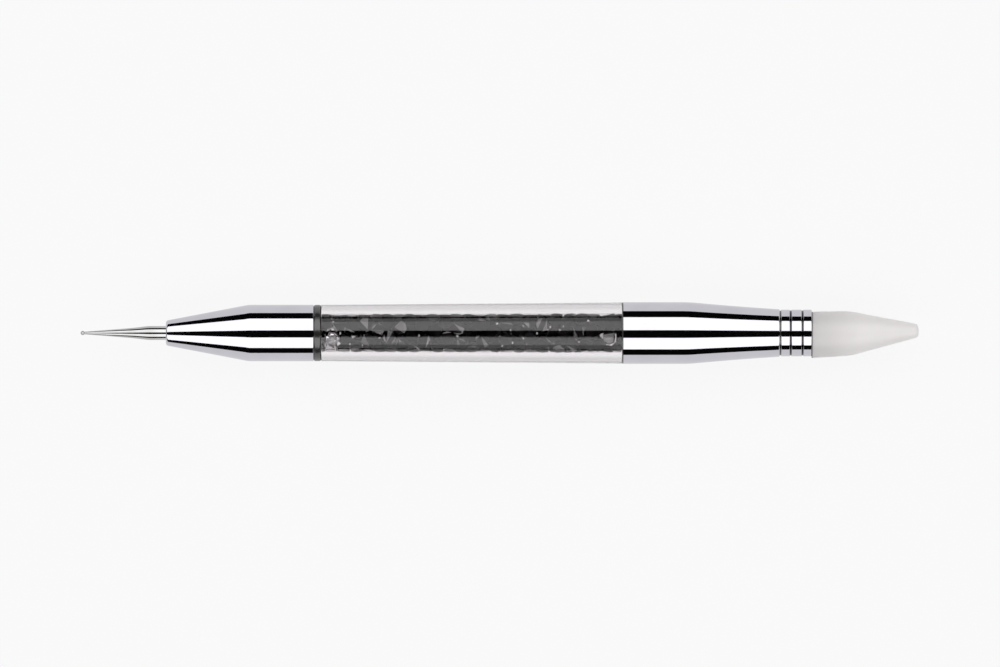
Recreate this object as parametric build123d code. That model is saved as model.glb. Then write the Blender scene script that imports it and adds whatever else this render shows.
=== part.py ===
from build123d import *
import math
import os
import random
import numpy as np

# Double-ended craft stylus: a steel ball point at one end, a soft shaping tip at the other, and a
# clear handle full of loose faceted stones between two chromed ferrules.
# Lengths are in millimetres and angles in degrees. The pen's axis runs along X, with the ball end
# at -X and the soft tip at +X, and the pen lies on the plane z = 0.

# Fits and cutting allowances that several pieces share
glue_gap = 0.04
running_gap = 0.05
overrun = 1.0
edge_break = 0.08

# Ball stylus: one turned steel needle with a ball point, held by its shank inside the nose
ball_diameter = 0.70
neck_diameter = 0.42
waist_diameter = 1.64
shank_diameter = 2.26
stylus_reach = 13.75
slim_taper_length = 7.6
steep_taper_length = 2.6
shank_hidden_length = 14.0
waist_round = 30.0
shank_shoulder_round = 9.0
shank_end_chamfer = 0.25

# Nose ferrule: chromed shell, a cone with a rounded mouth behind the needle, then a barrel
nose_mouth_diameter = 4.0
nose_diameter = 9.10
nose_cone_length = 13.3
nose_barrel_length = 10.5
nose_mouth_round = 0.45
nose_shoulder_round = 5.0
holder_bore_diameter = 4.3
nose_front_wall = 6.8

# Stylus holder: stepped insert that grips the shank in the nose and backs the handle's end
holder_flange_length = 2.0

# Nose seal ring: dark rubber ring squeezed between the nose ferrule and the handle
nose_seal_thickness = 1.24
nose_seal_diameter = 9.08
nose_seal_round = 0.34

# Barrel tube: clear moulded handle, slightly tapered, with a reduced tenon at each end
tube_length = 48.46
tube_front_diameter = 9.07
tube_rear_diameter = 9.86
tube_front_bore = 6.26
tube_rear_bore = 6.52
front_tenon_diameter = 7.8
rear_tenon_diameter = 8.3
front_tenon_grip = 5.0
rear_tenon_grip = 6.0

# Stoppers: soft plugs that close both ends of the bore inside the tenons
stopper_length = 3.0

# Stones: flat-backed, with an eight-sided girdle, two rows of crown facets and a table
stone_diameter = 2.06
stone_height = 0.98
stone_girdle_height = 0.30
stone_break_height = 0.74
stone_break_share = 0.84
stone_table_share = 0.52
stone_sides = 8
stone_gap = 0.05
stone_core_slack = 0.10
stone_tilt = 34.0
stone_tries = 16
stone_seed = 13
wall_cover_share = 0.80
spread_steps = 700
spread_push_share = 0.35
core_stones_per_row = 3
crown_out_share = 0.4
clear_fill_length = 6.8
clear_stone_share = 0.62
stone_group_count = 8

# Tail seal ring: thin dark ring in the joint between the handle and the tail ferrule
tail_seal_thickness = 0.20
tail_seal_diameter = 9.84

# Tail ferrule: chromed shell, a barrel and then a slightly hollow taper towards the tip
tail_diameter = 9.96
tail_end_diameter = 7.66
tail_barrel_length = 10.6
tail_taper_length = 14.6
tail_shoulder_round = 26.0
tail_hollow = 0.05
tail_end_round = 0.22

# Tip socket: threaded brass bush pressed into the tail ferrule
socket_diameter = 6.1
socket_length = 8.0
socket_recess = 0.10

# Screw thread of the exchangeable tip, M4 x 0.7. The socket is tapped some turns deeper and further out
thread_pitch = 0.7
thread_turns = 6
tap_overlong_turns = 3
thread_major_diameter = 3.96
thread_core_diameter = 3.06
thread_root_width = 0.50
thread_crest_width = 0.10
thread_root_bite = 0.02

# Tip washer: thin dark ring on the spigot, between the tail ferrule and the collar
washer_thickness = 0.20
washer_diameter = 7.24
washer_bore = 4.3

# Tip collar: chromed cup with three rings, with the threaded spigot behind
collar_diameter = 7.54
ring_lengths = (1.40, 1.64, 1.34)
groove_length = 0.27
groove_depth = 0.12
ring_round = 0.09
cup_diameter = 5.8
cup_depth = 3.4

# Soft tip: silicone head that sits a little off centre and leans, on a stem in the collar's cup
tip_base_diameter = 7.46
tip_shoulder_diameter = 7.20
tip_straight_length = 6.1
tip_end_diameter = 2.10
tip_length = 17.28
tip_crown = 0.12
tip_shoulder_round = 9.0
tip_end_round = 0.72
tip_lean = 2.2
tip_offset = 0.30
stem_length = 3.2
stem_round = 0.3

# Lengths that follow from the values above
nose_length = nose_cone_length + nose_barrel_length
tail_length = tail_barrel_length + tail_taper_length
collar_length = sum(ring_lengths) + 2 * groove_length
front_tenon_length = nose_seal_thickness + front_tenon_grip
rear_tenon_length = tail_seal_thickness + rear_tenon_grip
thread_length = thread_pitch * thread_turns
tip_reach = tip_length * math.cos(math.radians(tip_lean))
overall_length = (stylus_reach + nose_length + nose_seal_thickness + tube_length
                  + tail_seal_thickness + tail_length + washer_thickness + collar_length + tip_reach)

# Stations along the axis, from the ball point to the tip
ball_end_x = -overall_length / 2
nose_mouth_x = ball_end_x + stylus_reach
nose_rear_x = nose_mouth_x + nose_length
tube_front_x = nose_rear_x + nose_seal_thickness
tube_rear_x = tube_front_x + tube_length
tail_front_x = tube_rear_x + tail_seal_thickness
tail_rear_x = tail_front_x + tail_length
collar_rear_x = tail_rear_x + washer_thickness
collar_mouth_x = collar_rear_x + collar_length
thread_start_x = collar_rear_x - thread_pitch - thread_length

# The tail ferrule is the widest piece, so the pen lies on it
axis_height = tail_diameter / 2


def turned(start_x, outline):
    """Turn an outline of (x from the start, diameter, corner round) rows about the pen's axis."""
    points = [(start_x + along, diameter / 2) for along, diameter, _ in outline]
    rounds = [corner for _, _, corner in outline]
    section = make_face(FilletPolyline(*points, radius=rounds, close=True))
    return revolve(section, Axis.X)


def drilled(start_x, length, front_diameter, rear_diameter=None):
    """Straight or tapered round cutter along the pen's axis."""
    rear_diameter = front_diameter if rear_diameter is None else rear_diameter
    return turned(start_x, [(0, 0, 0), (0, front_diameter, 0), (length, rear_diameter, 0), (length, 0, 0)])


def bore_diameter(x):
    """Diameter of the handle's bore, which widens evenly from the front shoulder to the rear."""
    along = (x - tube_front_x) / tube_length
    return tube_front_bore + along * (tube_rear_bore - tube_front_bore)


def save(node, shape):
    """Lift the shape from the axis to its lying height and write it as one sub-part."""
    export_step(Pos(0, 0, axis_height) * shape, f"parts/{node}.step")


def make_ball_stylus():
    ball = Pos(ball_end_x + ball_diameter / 2, 0, 0) * Sphere(ball_diameter / 2)
    neck_start = ball_diameter / 2
    waist_at = ball_diameter + slim_taper_length
    shank_at = waist_at + steep_taper_length
    end_at = stylus_reach + shank_hidden_length
    needle = turned(ball_end_x, [
        (neck_start, 0, 0),
        (neck_start, neck_diameter, 0),
        (waist_at, waist_diameter, waist_round),
        (shank_at, shank_diameter, shank_shoulder_round),
        (end_at - shank_end_chamfer, shank_diameter, 0),
        (end_at, shank_diameter - 2 * shank_end_chamfer, 0),
        (end_at, 0, 0),
    ])
    return ball + needle


def make_nose_ferrule():
    tenon_bore = front_tenon_diameter + 2 * glue_gap
    tenon_depth = front_tenon_grip + holder_flange_length
    shell = turned(nose_mouth_x, [
        (0, 0, 0),
        (0, nose_mouth_diameter, nose_mouth_round),
        (nose_cone_length, nose_diameter, nose_shoulder_round),
        (nose_length, nose_diameter, edge_break),
        (nose_length, 0, 0),
    ])
    shell -= drilled(nose_mouth_x - overrun, nose_length, shank_diameter + 2 * glue_gap)
    shell -= drilled(nose_mouth_x + nose_front_wall, nose_length, holder_bore_diameter)
    shell -= drilled(nose_rear_x - tenon_depth, tenon_depth + overrun, tenon_bore)
    return shell


def make_stylus_holder():
    flange_at = nose_length - front_tenon_grip - holder_flange_length
    sleeve_diameter = holder_bore_diameter - 2 * glue_gap
    end_at = nose_length - front_tenon_grip
    holder = turned(nose_mouth_x, [
        (nose_front_wall, 0, 0),
        (nose_front_wall, sleeve_diameter, 0),
        (flange_at, sleeve_diameter, 0),
        (flange_at, front_tenon_diameter, 0),
        (end_at, front_tenon_diameter, 0),
        (end_at, 0, 0),
    ])
    return holder - drilled(nose_mouth_x, shank_hidden_length + glue_gap, shank_diameter + 2 * glue_gap)


def make_seal_ring(start_x, thickness, diameter, bore, corner):
    return turned(start_x, [
        (0, bore, 0),
        (0, diameter, corner),
        (thickness, diameter, corner),
        (thickness, bore, 0),
    ])


def make_barrel_tube():
    body = turned(tube_front_x, [
        (-front_tenon_length, 0, 0),
        (-front_tenon_length, front_tenon_diameter, edge_break),
        (0, front_tenon_diameter, 0),
        (0, tube_front_diameter, edge_break),
        (tube_length, tube_rear_diameter, edge_break),
        (tube_length, rear_tenon_diameter, 0),
        (tube_length + rear_tenon_length, rear_tenon_diameter, edge_break),
        (tube_length + rear_tenon_length, 0, 0),
    ])
    cut_front_x = tube_front_x - front_tenon_length - overrun
    cut_rear_x = tube_rear_x + rear_tenon_length + overrun
    return body - drilled(cut_front_x, cut_rear_x - cut_front_x,
                          bore_diameter(cut_front_x), bore_diameter(cut_rear_x))


def make_stopper(start_x):
    end_x = start_x + stopper_length
    return drilled(start_x, stopper_length, bore_diameter(start_x) - 2 * glue_gap,
                   bore_diameter(end_x) - 2 * glue_gap)


def make_stone():
    """One stone on its flat back at the origin, crown up: back, girdle, crown break and table."""
    radius = stone_diameter / 2
    rings = (
        (radius, 0),
        (radius, stone_girdle_height),
        (radius * stone_break_share, stone_break_height),
        (radius * stone_table_share, stone_height),
    )
    sections = [Pos(0, 0, height) * RegularPolygon(ring, stone_sides) for ring, height in rings]
    return loft(sections, ruled=True)


def spread_on_wall(rng, radius, length):
    """Places of the stones against the bore's wall, as angles and positions along it.

    They start anywhere, and those that are too near to each other push each other away.
    """
    reach = stone_diameter + stone_gap
    count = int(wall_cover_share * 2 * math.pi * radius * length / (math.pi * (reach / 2) ** 2))
    angle = np.array([rng.uniform(0, 2 * math.pi) for _ in range(count)])
    along = np.array([rng.uniform(reach / 2, length - reach / 2) for _ in range(count)])
    for _ in range(spread_steps):
        turn = (angle[:, None] - angle + math.pi) % (2 * math.pi) - math.pi
        across = 2 * radius * np.sin(turn / 2)
        beside = along[:, None] - along
        distance = np.hypot(across, beside)
        np.fill_diagonal(distance, reach)
        push = spread_push_share * np.clip(reach + stone_gap - distance, 0, None) / distance
        angle = angle + (push * across).sum(axis=1) / radius
        along = np.clip(along + (push * beside).sum(axis=1), reach / 2, length - reach / 2)
    return angle, along


def wall_cells(rng, radius, length, inner):
    """Cells of the stones against the wall: (angle, position, half-spaces) of each.

    A half-space is a normal and a limit, in the cell's own directions: along the pen, sideways and
    out from the axis. Each cell ends halfway to its neighbours, at the ends and over the core.
    """
    angle, along = spread_on_wall(rng, radius, length)
    cells = []
    for own in range(len(angle)):
        turn = angle - angle[own]
        offset = np.column_stack((along - along[own], radius * np.sin(turn), radius * np.cos(turn) - radius))
        distance = np.linalg.norm(offset, axis=1)
        near = (distance > 0) & (distance < 2 * stone_diameter)
        normals = offset[near] / distance[near, None]
        limits = distance[near] / 2 + radius * normals[:, 2] - stone_gap / 2
        ends = [(1, 0, 0), (-1, 0, 0), (0, 0, -1)]
        end_limits = [length - along[own], along[own], -inner - stone_gap / 2]
        cells.append((angle[own], along[own], np.vstack((normals, ends)), np.append(limits, end_limits)))
    return cells


def core_cells(rng, length):
    """Cells of the stones in the core: wedges round the axis, row after row."""
    row_count = int(length / (stone_diameter + stone_gap))
    half_row = length / row_count / 2
    half_angle = math.pi / core_stones_per_row
    normals = np.array([(1, 0, 0), (-1, 0, 0), (0, math.cos(half_angle), -math.sin(half_angle)),
                        (0, -math.cos(half_angle), -math.sin(half_angle))])
    limits = np.array([half_row, half_row, 0, 0]) - stone_gap / 2
    cells = []
    for row in range(row_count):
        first_angle = rng.uniform(0, 2 * math.pi)
        for place in range(core_stones_per_row):
            angle = first_angle + 2 * half_angle * place
            cells.append((angle, (2 * row + 1) * half_row, normals, limits))
    return cells


def nest_stone(rng, corners, normals, limits, outer):
    """Place of a stone in its cell: turned at random and pushed out to the cell's round outer wall.

    Each fall that doesn't fit is followed by one with less tilt, down to flat, and a stone that
    doesn't fit with its crown outwards turns over. The result is None where nothing fits.
    """
    flips = (0, 180) if rng.random() < crown_out_share else (180,)
    for flip in flips:
        for attempt in range(stone_tries):
            tilt = stone_tilt * (1 - attempt / (stone_tries - 1)) ** 2
            fall = Rotation(rng.uniform(-tilt, tilt), rng.uniform(-tilt, tilt), 0)
            turn = fall * Rotation(flip, 0, rng.uniform(0, 360))
            frame = Plane(turn)
            directions = [tuple(frame.x_dir), tuple(frame.y_dir), tuple(frame.z_dir)]
            along, side, out = (corners @ np.array(directions)).T
            push = float(np.min(np.sqrt(outer ** 2 - side ** 2) - out))
            seated = np.column_stack((along, side, out + push))
            if np.all(seated @ normals.T <= limits):
                return Pos(0, 0, push) * turn
    return None


def make_stones():
    """All stones: the black ones in groups along the handle, and the clear ones at its front end."""
    rng = random.Random(stone_seed)
    stone = make_stone()
    corners = np.array([tuple(vertex.center()) for vertex in stone.vertices()])
    radius = stone_diameter / 2
    first_x = tube_front_x - front_tenon_length + stopper_length
    length = tube_rear_x + rear_tenon_length - stopper_length - first_x
    mean_reach = (bore_diameter(first_x + length / 2) - 2 * stone_gap) / 2
    back_out = math.sqrt(mean_reach ** 2 - radius ** 2)
    core_reach = back_out - stone_height - stone_core_slack
    cells = [(cell, None) for cell in wall_cells(rng, back_out - stone_girdle_height, length, core_reach)]
    cells += [(cell, core_reach - stone_gap) for cell in core_cells(rng, length)]
    black_groups = [[] for _ in range(stone_group_count)]
    clear_stones = []
    for (angle, along, normals, limits), core_outer in cells:
        x = first_x + along
        outer = core_outer or (bore_diameter(x) - 2 * stone_gap) / 2
        nest = nest_stone(rng, corners, normals, limits, outer)
        if nest is None:
            continue
        cell = Plane(origin=(x, 0, 0), x_dir=(1, 0, 0), z_dir=(0, math.cos(angle), math.sin(angle)))
        placed = cell.location * nest * stone
        if along < clear_fill_length and rng.random() < clear_stone_share:
            clear_stones.append(placed)
        else:
            black_groups[int(along / length * stone_group_count)].append(placed)
    return black_groups, clear_stones


def make_tail_ferrule():
    tenon_bore = rear_tenon_diameter + 2 * glue_gap
    shoulder = (tail_barrel_length, tail_diameter / 2)
    end = (tail_length, tail_end_diameter / 2)
    front_edge = Polyline((0, 0), (0, tail_diameter / 2), shoulder)
    taper = SagittaArc(shoulder, end, tail_hollow)
    back_edge = Polyline(end, (tail_length, 0), (0, 0))
    section = make_face([front_edge, taper, back_edge])
    for corner, corner_round in ((shoulder, tail_shoulder_round), (end, tail_end_round)):
        nearest = section.vertices().sort_by_distance(corner)[0]
        section = fillet(nearest, corner_round)
    shell = Pos(tail_front_x, 0, 0) * revolve(section, Axis.X)
    shell -= drilled(tail_front_x - overrun, overrun + rear_tenon_grip, tenon_bore)
    shell -= drilled(tail_front_x, tail_length + overrun, socket_diameter + 2 * glue_gap)
    return shell


def threaded_rod(length, growth):
    """Right-handed threaded rod that runs along X from x = 0, grown all round by a clearance."""
    core_radius = thread_core_diameter / 2 + growth
    root_radius = core_radius - thread_root_bite
    crest_radius = thread_major_diameter / 2 + growth
    root = thread_root_width / 2 + growth
    crest = thread_crest_width / 2 + growth
    outline = Polyline((root_radius, -root), (crest_radius, -crest), (crest_radius, crest),
                       (root_radius, root), close=True)
    helix = Helix(pitch=thread_pitch, height=length, radius=root_radius)
    ridge = sweep(Plane.XZ * make_face(outline), path=helix, is_frenet=True)
    core = Cylinder(core_radius, length + 2 * thread_pitch, align=(Align.CENTER, Align.CENTER, Align.MIN))
    return Rotation(0, 90, 0) * (Pos(0, 0, -thread_pitch) * core + ridge)


def make_tip_socket():
    socket_x = tail_rear_x - socket_recess - socket_length
    bush = turned(socket_x, [
        (0, 0, 0),
        (0, socket_diameter, edge_break),
        (socket_length, socket_diameter, edge_break),
        (socket_length, 0, 0),
    ])
    tap = threaded_rod(thread_length + tap_overlong_turns * thread_pitch, running_gap)
    return bush - Pos(thread_start_x - thread_pitch, 0, 0) * tap


def make_tip_collar():
    groove_diameter = collar_diameter - 2 * groove_depth
    outline = [(0, 0, 0)]
    at = 0
    for ring_length in ring_lengths:
        if at > 0:
            outline.append((at, groove_diameter, 0))
            at += groove_length
            outline.append((at, groove_diameter, 0))
        outline.append((at, collar_diameter, ring_round))
        at += ring_length
        outline.append((at, collar_diameter, ring_round))
    outline.append((at, 0, 0))
    collar = turned(collar_rear_x, outline)
    collar -= drilled(collar_mouth_x - cup_depth, cup_depth + overrun, cup_diameter)
    return collar + Pos(thread_start_x, 0, 0) * threaded_rod(thread_length, 0)


def make_soft_tip():
    head = turned(0, [
        (-overrun, 0, 0),
        (-overrun, tip_base_diameter, 0),
        (tip_straight_length, tip_shoulder_diameter, tip_shoulder_round),
        (tip_length - tip_crown, tip_end_diameter, tip_end_round),
        (tip_length, 0, 0),
    ])
    head = Pos(collar_mouth_x, -tip_offset, 0) * Rotation(0, 0, tip_lean) * head
    behind = drilled(collar_mouth_x - 2 * overrun, 2 * overrun, collar_diameter + 2 * overrun)
    stem = turned(collar_mouth_x - stem_length, [
        (0, 0, 0),
        (0, cup_diameter - 2 * glue_gap, stem_round),
        (stem_length, cup_diameter - 2 * glue_gap, 0),
        (stem_length, 0, 0),
    ])
    return (head - behind) + stem


os.makedirs("parts", exist_ok=True)

save("ball_stylus", make_ball_stylus())
save("nose_ferrule", make_nose_ferrule())
save("stylus_holder", make_stylus_holder())
save("nose_seal_ring", make_seal_ring(nose_rear_x, nose_seal_thickness, nose_seal_diameter,
                                      front_tenon_diameter + 2 * glue_gap, nose_seal_round))
save("barrel_tube", make_barrel_tube())
save("front_stopper", make_stopper(tube_front_x - front_tenon_length))
save("rear_stopper", make_stopper(tube_rear_x + rear_tenon_length - stopper_length))
save("tail_seal_ring", make_seal_ring(tube_rear_x, tail_seal_thickness, tail_seal_diameter,
                                      rear_tenon_diameter + 2 * glue_gap, 0))
save("tail_ferrule", make_tail_ferrule())
save("tip_socket", make_tip_socket())
save("tip_washer", make_seal_ring(tail_rear_x, washer_thickness, washer_diameter, washer_bore, 0))
save("tip_collar", make_tip_collar())
save("soft_tip", make_soft_tip())

black_stone_groups, front_clear_stones = make_stones()
save("clear_stones", Compound(front_clear_stones))
for number, group in enumerate(black_stone_groups, start=1):
    save(f"black_stones_{number:02d}", Compound(group))
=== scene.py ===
"""Looks of a double-ended craft stylus, dressed round its packed construction.

The pen lies on a pale table along X: the ball point at -X, the clear handle full of faceted stones in
the middle and the soft shaping tip at +X. Every length is in metres, and Z is up.
"""

import logging
import math
from dataclasses import dataclass
from enum import Enum

import bpy
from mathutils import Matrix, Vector, noise


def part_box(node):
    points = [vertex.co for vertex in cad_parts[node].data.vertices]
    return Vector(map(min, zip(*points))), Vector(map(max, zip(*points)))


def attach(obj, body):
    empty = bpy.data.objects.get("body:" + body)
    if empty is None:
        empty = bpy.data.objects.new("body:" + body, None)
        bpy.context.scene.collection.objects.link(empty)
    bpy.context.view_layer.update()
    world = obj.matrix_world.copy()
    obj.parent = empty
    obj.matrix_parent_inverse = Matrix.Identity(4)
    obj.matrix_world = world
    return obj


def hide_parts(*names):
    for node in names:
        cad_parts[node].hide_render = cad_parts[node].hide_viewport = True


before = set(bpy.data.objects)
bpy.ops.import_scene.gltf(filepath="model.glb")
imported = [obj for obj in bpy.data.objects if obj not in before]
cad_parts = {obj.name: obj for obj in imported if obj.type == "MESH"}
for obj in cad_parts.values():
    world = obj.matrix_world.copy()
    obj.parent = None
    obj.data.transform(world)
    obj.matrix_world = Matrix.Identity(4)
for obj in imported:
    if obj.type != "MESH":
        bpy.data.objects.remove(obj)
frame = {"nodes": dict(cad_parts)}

MM = 0.001
LOG = logging.getLogger("stylus")


class Body(Enum):
    """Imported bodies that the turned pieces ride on."""

    HANDLE = "handle"
    TIP = "tip"


class Slot(Enum):
    """Material slots of the turned pieces."""

    STEEL = "polished_steel"
    CHROME = "chrome"
    RUBBER = "dark_rubber"
    ACRYLIC = "clear_acrylic"
    SILICONE = "milky_silicone"


@dataclass(frozen=True)
class Corner:
    """One corner of a turned outline.

    Args:
        x: place along the axis.
        r: distance from the axis.
        round: radius that blends the corner, or 0 for a sharp one.
    """

    x: float
    r: float
    round: float = 0.0


@dataclass(frozen=True)
class Sample:
    """One point of a sampled outline, with the surface normals just before and after it."""

    x: float
    r: float
    before: tuple[float, float]
    after: tuple[float, float]


@dataclass
class Outline:
    """Half section of a turned piece: straight runs joined at sharp or round corners.

    Args:
        corners: the corners in order, with the outside of the piece on the left.
        closed: whether the last corner joins the first, as on a ring.
        run_step: longest straight stretch between two samples.
        turn_step: largest turn between two samples of a round corner.
        fewest_steps: fewest steps in a round corner.
    """

    corners: list[Corner]
    closed: bool = False
    run_step: float = 1.5 * MM
    turn_step: float = math.radians(6)
    fewest_steps: int = 3

    def samples(self) -> list[Sample]:
        """Walk the outline and sample its runs and corners.

        Returns:
            The samples in order, with exact normals on the runs and the rounds.
        """
        count = len(self.corners)
        points: list[Sample] = []
        for index, corner in enumerate(self.corners):
            at_end = index in (0, count - 1) and not self.closed
            if at_end:
                neighbour = self.corners[1] if index == 0 else self.corners[-2]
                ends = (corner, neighbour) if index == 0 else (neighbour, corner)
                normal = self._normal(*ends)
                points.append(Sample(corner.x, corner.r, normal, normal))
            else:
                previous = self.corners[index - 1]
                following = self.corners[(index + 1) % count]
                points += self._round(previous, corner, following)
        if self.closed:
            points.append(points[0])
        return self._divide_runs(points)

    @staticmethod
    def _normal(start: Corner, end: Corner) -> tuple[float, float]:
        """Outward normal of the run between two corners."""
        length = math.hypot(end.x - start.x, end.r - start.r)
        return (start.r - end.r) / length, (end.x - start.x) / length

    def _round(self, previous: Corner, corner: Corner, following: Corner) -> list[Sample]:
        """Sample one corner.

        Args:
            previous: the corner before it.
            corner: the corner itself.
            following: the corner after it.

        Returns:
            One sample for a sharp corner, or the samples of its round.
        """
        before = self._normal(previous, corner)
        after = self._normal(corner, following)
        if corner.round <= 0:
            return [Sample(corner.x, corner.r, before, after)]
        first = math.atan2(before[1], before[0])
        turn = math.remainder(math.atan2(after[1], after[0]) - first, 2 * math.pi)
        side = -1.0 if turn > 0 else 1.0
        reach = corner.round * math.tan(abs(turn) / 2)
        start_x = corner.x - before[1] * reach
        start_r = corner.r + before[0] * reach
        centre_x = start_x - side * corner.round * before[0]
        centre_r = start_r - side * corner.round * before[1]
        steps = max(self.fewest_steps, math.ceil(abs(turn) / self.turn_step))
        arc = []
        for step in range(steps + 1):
            angle = first + turn * step / steps
            normal = (math.cos(angle), math.sin(angle))
            x = centre_x + side * corner.round * normal[0]
            r = centre_r + side * corner.round * normal[1]
            arc.append(Sample(x, max(r, 0.0), normal, normal))
        return arc

    def _divide_runs(self, points: list[Sample]) -> list[Sample]:
        """Add samples on long straight runs, so that no face of the mesh is very slender.

        Args:
            points: the samples at the corners.

        Returns:
            Those samples with the new ones between them.
        """
        divided = [points[0]]
        for start, end in zip(points, points[1:]):
            length = math.hypot(end.x - start.x, end.r - start.r)
            parts = max(1, math.ceil(length / self.run_step))
            for part in range(1, parts):
                share = part / parts
                x = start.x + (end.x - start.x) * share
                r = start.r + (end.r - start.r) * share
                divided.append(Sample(x, r, start.after, start.after))
            divided.append(end)
        return divided


@dataclass(frozen=True)
class Lathe:
    """Turns outlines into meshes about the pen's axis.

    Args:
        axis_height: height of the axis above the table.
        segments: faces round the axis.
    """

    axis_height: float
    segments: int = 192

    def turn(self, name: str, outline: Outline) -> bpy.types.Object:
        """Make one turned piece.

        Args:
            name: name of the new object.
            outline: its half section, in places along the pen's axis.

        Returns:
            The new object, linked to the scene.
        """
        samples = outline.samples()
        vertices: list[tuple[float, float, float]] = []
        rings: list[list[int]] = []
        angles = [2 * math.pi * step / self.segments for step in range(self.segments)]
        around = [(math.cos(angle), math.sin(angle)) for angle in angles]
        for sample in samples[:-1] if outline.closed else samples:
            first = len(vertices)
            if sample.r > 0:
                vertices += [(sample.x, sample.r * c, self.axis_height + sample.r * s) for c, s in around]
                rings.append(list(range(first, first + self.segments)))
            else:
                vertices.append((sample.x, 0.0, self.axis_height))
                rings.append([first] * self.segments)
        if outline.closed:
            rings.append(rings[0])
        faces: list[tuple[int, ...]] = []
        normals: list[tuple[float, float, float]] = []
        for index in range(len(samples) - 1):
            near, far = samples[index].after, samples[index + 1].before
            for step in range(self.segments):
                ahead = (step + 1) % self.segments
                loop = [(rings[index][step], near, step), (rings[index][ahead], near, ahead),
                        (rings[index + 1][ahead], far, ahead), (rings[index + 1][step], far, step)]
                if loop[0][0] == loop[1][0]:
                    del loop[1]
                if loop[-1][0] == loop[-2][0]:
                    del loop[-1]
                if len(loop) > 2:
                    faces.append(tuple(vertex for vertex, _, _ in loop))
                    normals += [(n[0], n[1] * around[k][0], n[1] * around[k][1]) for _, n, k in loop]
        mesh = bpy.data.meshes.new(name)
        mesh.from_pydata(vertices, [], faces)
        mesh.polygons.foreach_set("use_smooth", [True] * len(faces))
        mesh.normals_split_custom_set(normals)
        piece = bpy.data.objects.new(name, mesh)
        bpy.context.scene.collection.objects.link(piece)
        return piece


def mounted(piece: bpy.types.Object, finish: "Finish", body: Body, slot: Slot,
            *nodes: str) -> bpy.types.Object:
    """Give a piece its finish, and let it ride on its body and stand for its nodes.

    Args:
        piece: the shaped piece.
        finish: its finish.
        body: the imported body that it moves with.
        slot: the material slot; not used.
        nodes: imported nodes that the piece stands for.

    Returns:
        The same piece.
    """
    piece.data.materials.append(finish.build())
    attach(piece, body.value)
    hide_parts(*nodes)
    LOG.info("%s: %d faces, rides on %s", piece.name, len(piece.data.polygons), body.value)
    return piece


class NodeDesk:
    """Short hand for building one node tree.

    Args:
        tree: the node tree of a material, world or group.
    """

    # A Mix node has sockets for every kind of value, and those for colours stand at these places.
    MIX_COLOURS = (6, 7)
    MIX_RESULT = 2

    def __init__(self, tree: bpy.types.NodeTree) -> None:
        """Keep the tree."""
        self.tree = tree

    def add(self, kind: str, **values: object) -> bpy.types.Node:
        """Add a node.

        Args:
            kind: the node's type name.
            values: its properties by name.

        Returns:
            The new node.
        """
        node = self.tree.nodes.new(kind)
        for name, value in values.items():
            setattr(node, name, value)
        return node

    def link(self, output: bpy.types.NodeSocket, target: bpy.types.NodeSocket) -> None:
        """Join an output to an input."""
        self.tree.links.new(output, target)

    def feed(self, value: object, target: bpy.types.NodeSocket) -> None:
        """Give an input its value.

        Args:
            value: a socket to join it to, a number, a colour, or nothing to leave it as it is.
            target: the input.
        """
        if isinstance(value, bpy.types.NodeSocket):
            self.link(value, target)
        elif isinstance(value, tuple):
            target.default_value = (*value, 1.0)
        elif value is not None:
            target.default_value = value

    def place(self) -> bpy.types.Node:
        """Split the place on the object into X, Y and Z.

        Returns:
            The node that gives the three numbers.
        """
        split = self.add("ShaderNodeSeparateXYZ")
        self.link(self.add("ShaderNodeTexCoord").outputs["Object"], split.inputs[0])
        return split

    def math(self, operation: str, first: object, second: object = None) -> bpy.types.NodeSocket:
        """Add a math node.

        Args:
            operation: name of the operation.
            first: a socket or a number.
            second: a socket, a number or nothing.

        Returns:
            The node's output.
        """
        node = self.add("ShaderNodeMath", operation=operation)
        self.feed(first, node.inputs[0])
        self.feed(second, node.inputs[1])
        return node.outputs[0]

    def mix(self, share: object, first: object, second: object) -> bpy.types.NodeSocket:
        """Mix two colours.

        Args:
            share: share of the second colour, a socket or a number.
            first: a socket or a colour.
            second: a socket or a colour.

        Returns:
            The mixed colour.
        """
        node = self.add("ShaderNodeMix", data_type="RGBA")
        self.feed(share, node.inputs["Factor"])
        for value, number in zip((first, second), self.MIX_COLOURS):
            self.feed(value, node.inputs[number])
        return node.outputs[self.MIX_RESULT]

    def span(self, value: bpy.types.NodeSocket, low: float, high: float,
             to_low: float, to_high: float) -> bpy.types.NodeSocket:
        """Map a value from one span to another, held at both ends.

        Args:
            value: the socket to map.
            low: start of the span.
            high: end of the span.
            to_low: what the start becomes.
            to_high: what the end becomes.

        Returns:
            The mapped value.
        """
        node = self.add("ShaderNodeMapRange", clamp=True)
        self.link(value, node.inputs["Value"])
        for name, number in (("From Min", low), ("From Max", high), ("To Min", to_low), ("To Max", to_high)):
            node.inputs[name].default_value = number
        return node.outputs["Result"]


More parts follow.
